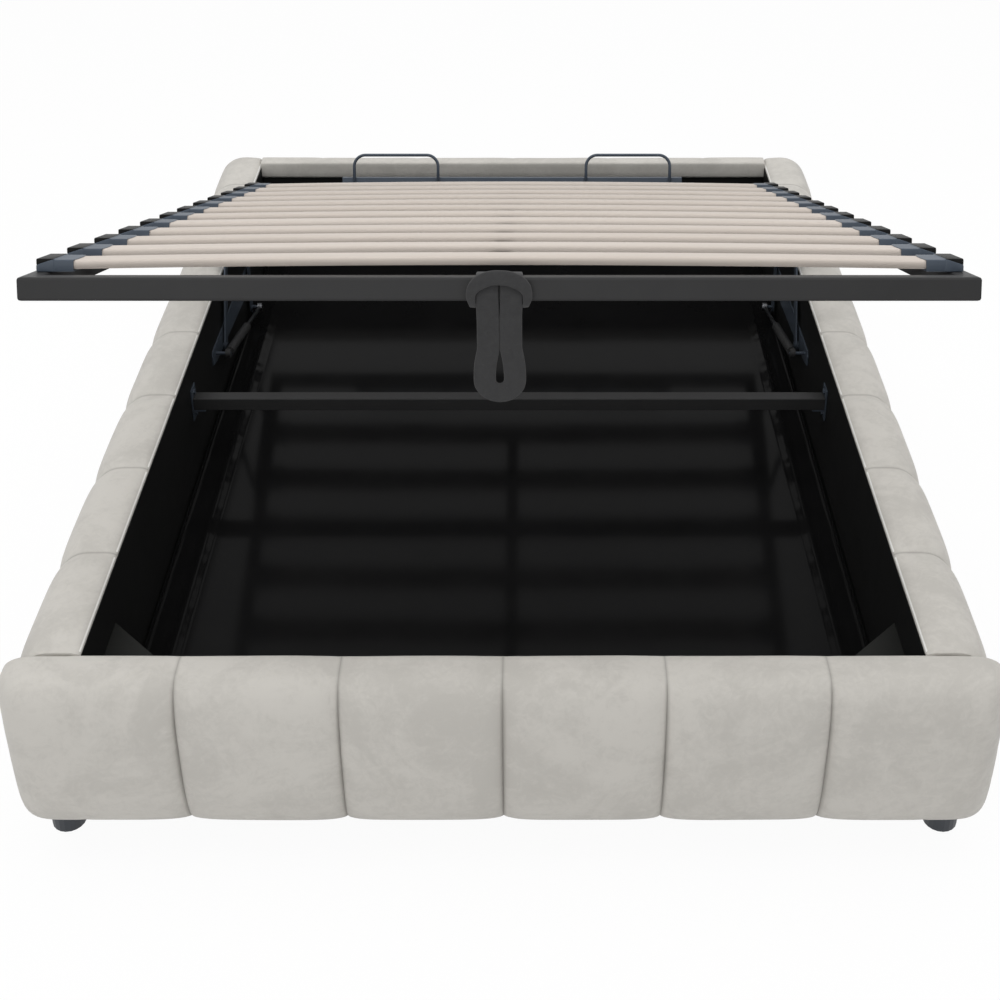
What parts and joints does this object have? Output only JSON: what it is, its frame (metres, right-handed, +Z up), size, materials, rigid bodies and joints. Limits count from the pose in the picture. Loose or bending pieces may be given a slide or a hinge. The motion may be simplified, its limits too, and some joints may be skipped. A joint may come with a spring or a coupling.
{
  "type": "storage bed",
  "caption": "Upholstered gas-lift storage bed with channelled rails, a raised slatted platform, lift arms, gas struts, mattress stops and a pull strap.",
  "frame": {"origin": "on the floor, at the middle of the centre leg's sole, halfway along the bed", "axes": "+X to the right seen from the foot end, +Y towards the head end, +Z up"},
  "size_m": [1.68, 2.205, 1.119],
  "materials": {
    "velvet": "light greige velvet with a soft mottled nap",
    "board": "board faced in black non-woven fabric",
    "gusset": "dull grey-green painted plywood",
    "black_steel": "charcoal powder coat, fine texture",
    "blue_steel": "blue-grey powder coat, satin",
    "chrome_rod": "ground and plated piston rod",
    "slat": "pale laminated birch, satin varnish",
    "holder": "dark blue-grey moulded plastic",
    "foot_plastic": "black moulded plastic",
    "strap": "dark grey felted webbing",
    "liner": "black non-woven lining"
  },
  "bodies": {
    "bed_box": {"rail_core_foot": "board", "rail_core_head": "board", "rail_core_left": "board", "rail_core_right": "board", "rail_pad_foot": "velvet", "rail_pad_head": "velvet", "rail_pad_left": "velvet", "rail_pad_right": "velvet", "corner_gusset_left": "gusset", "corner_gusset_right": "gusset", "cross_rail": "black_steel", "cross_rail_bracket_left": "blue_steel", "cross_rail_bracket_right": "blue_steel", "floor_batten_left": "board", "floor_batten_right": "board", "floor_beam": "board", "floor_panel_left": "board", "floor_panel_right": "board", "storage_liner": "liner", "bed_foot_foot_left": "foot_plastic", "bed_foot_foot_right": "foot_plastic", "bed_foot_head_left": "foot_plastic", "bed_foot_head_right": "foot_plastic", "centre_leg": "foot_plastic", "wall_bracket_left": "blue_steel", "wall_bracket_right": "blue_steel"},
    "front_arms": {"front_arm_left": "blue_steel", "front_arm_right": "blue_steel"},
    "platform": {"platform_tube_foot": "black_steel", "platform_tube_head": "black_steel", "platform_tube_left": "black_steel", "platform_tube_right": "black_steel", "platform_bracket_left": "blue_steel", "platform_bracket_right": "blue_steel", "slat_01": "slat", "slat_02": "slat", "slat_03": "slat", "slat_04": "slat", "slat_05": "slat", "slat_06": "slat", "slat_07": "slat", "slat_08": "slat", "slat_09": "slat", "slat_10": "slat", "slat_11": "slat", "slat_12": "slat", "slat_holders_left": "holder", "slat_holders_right": "holder", "mattress_stop_rail": "blue_steel", "mattress_hoop_left": "blue_steel", "mattress_hoop_right": "blue_steel", "lift_strap_collar": "strap"},
    "strap": {"lift_strap": "strap"},
    "rear_arms": {"rear_arm_left": "blue_steel", "rear_arm_right": "blue_steel"},
    "strut_cylinders": {"strut_cylinder_left": "black_steel", "strut_cylinder_right": "black_steel"},
    "strut_rods": {"strut_rod_left": "chrome_rod", "strut_rod_right": "chrome_rod"}
  },
  "joints": [
    {"name": "front_arm_lift", "type": "hinge", "parent": "bed_box", "child": "front_arms", "pos_m": [0, 0.3118, 0.225], "axis": [1, 0, 0], "range_deg": [-53.57, 0]},
    {"name": "platform_tilt", "type": "hinge", "parent": "front_arms", "child": "platform", "pos_m": [0, 0.45011, 0.49665], "axis": [1, 0, 0], "range_deg": [0, 74.38]},
    {"name": "strap_hang", "type": "hinge", "parent": "platform", "child": "strap", "pos_m": [0, -1.02718, 1.08938], "axis": [1, 0, 0], "range_deg": [-16.11, 0]},
    {"name": "rear_arm_swing", "type": "hinge", "parent": "bed_box", "child": "rear_arms", "pos_m": [0, 0.67245, 0.206], "axis": [1, 0, 0], "range_deg": [-66.83, 0]},
    {"name": "strut_tilt", "type": "hinge", "parent": "bed_box", "child": "strut_cylinders", "pos_m": [0, 0.2275, 0.253], "axis": [1, 0, 0], "range_deg": [0, 4.26]},
    {"name": "strut_slide", "type": "slide", "parent": "strut_cylinders", "child": "strut_rods", "axis": [0, 0.9666, -0.2562], "range_m": [-0.0706, 0]}
  ],
  "couplings": [
    {"joint": "platform_tilt", "follows": "front_arm_lift", "ratio": -1.3882},
    {"joint": "strap_hang", "follows": "front_arm_lift", "ratio": 0.30052},
    {"joint": "rear_arm_swing", "follows": "front_arm_lift", "ratio": 1.2473},
    {"joint": "strut_tilt", "follows": "front_arm_lift", "ratio": -0.079416},
    {"joint": "strut_slide", "follows": "front_arm_lift", "m_per_rad": 0.075416}
  ]
}
